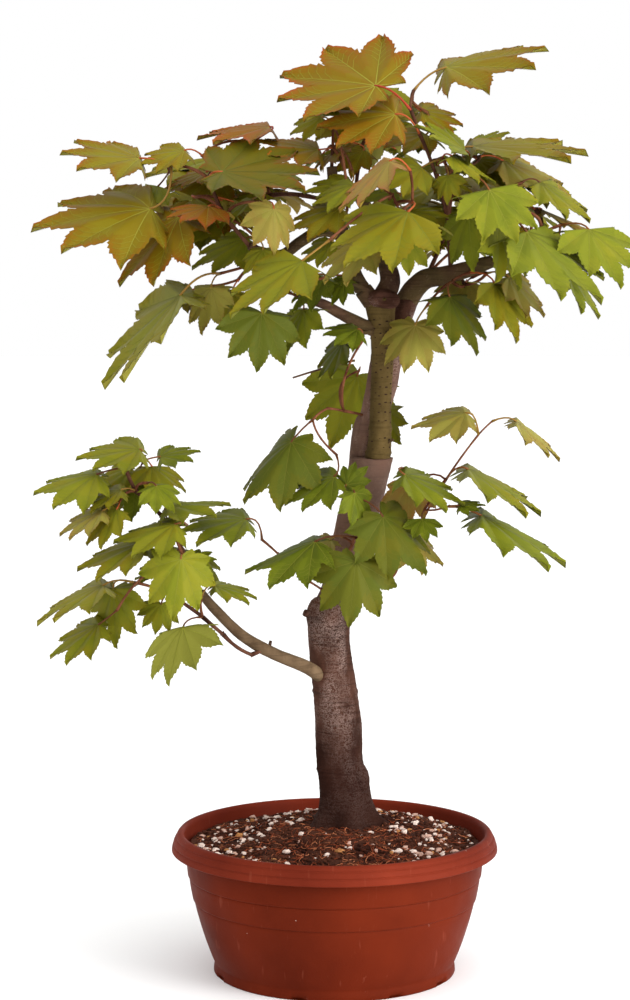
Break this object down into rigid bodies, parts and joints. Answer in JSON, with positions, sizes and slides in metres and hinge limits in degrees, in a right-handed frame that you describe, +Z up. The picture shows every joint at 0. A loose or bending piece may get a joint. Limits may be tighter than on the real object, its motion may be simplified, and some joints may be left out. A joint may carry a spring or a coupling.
{
  "type": "potted vine maple bonsai",
  "caption": "Young vine maple grown as a bonsai, with a leaning forked trunk and lobed leaves in autumn tints, in a round terracotta-coloured bowl pot.",
  "frame": {"origin": "centre of the pot's flat underside", "axes": "+Z up along the pot's axis, +X to the right and +Y to the back as the plant is seen from its front"},
  "size_m": [0.5343, 0.3564, 0.8472],
  "materials": {
    "terracotta_plastic": "matte moulded plastic with fine scuffs",
    "peat": "rough crumbly potting mix",
    "old_bark": "rough lined bark",
    "young_bark": "smooth bark with raised pores",
    "leaf_green": "soft leaf, slightly waxy",
    "leaf_olive": "soft leaf, slightly waxy"
  },
  "bodies": {
    "root": {"pot": "terracotta_plastic", "soil": "peat", "trunk": "old_bark", "rear_stem": "old_bark", "front_stem": "young_bark", "right_bough": "young_bark", "top_bough": "young_bark", "left_limb": "young_bark", "far_left_bough": "young_bark", "left_side_bough": "young_bark", "low_left_bough": "young_bark", "crown_top": "leaf_olive", "crown_right": "leaf_olive", "crown_right_under": "leaf_olive", "crown_front": "leaf_olive", "crown_middle": "leaf_olive", "crown_left": "leaf_olive", "crown_left_low": "leaf_olive", "crown_under": "leaf_olive", "crown_back_left": "leaf_olive", "crown_back_right": "leaf_olive", "crown_back_top": "leaf_olive", "mid_left": "leaf_green", "mid_front": "leaf_green", "mid_right": "leaf_green", "mid_back": "leaf_green", "shoulder_left": "leaf_green", "low_left_top": "leaf_green", "low_left_bottom": "leaf_green"}
  },
  "joints": []
}
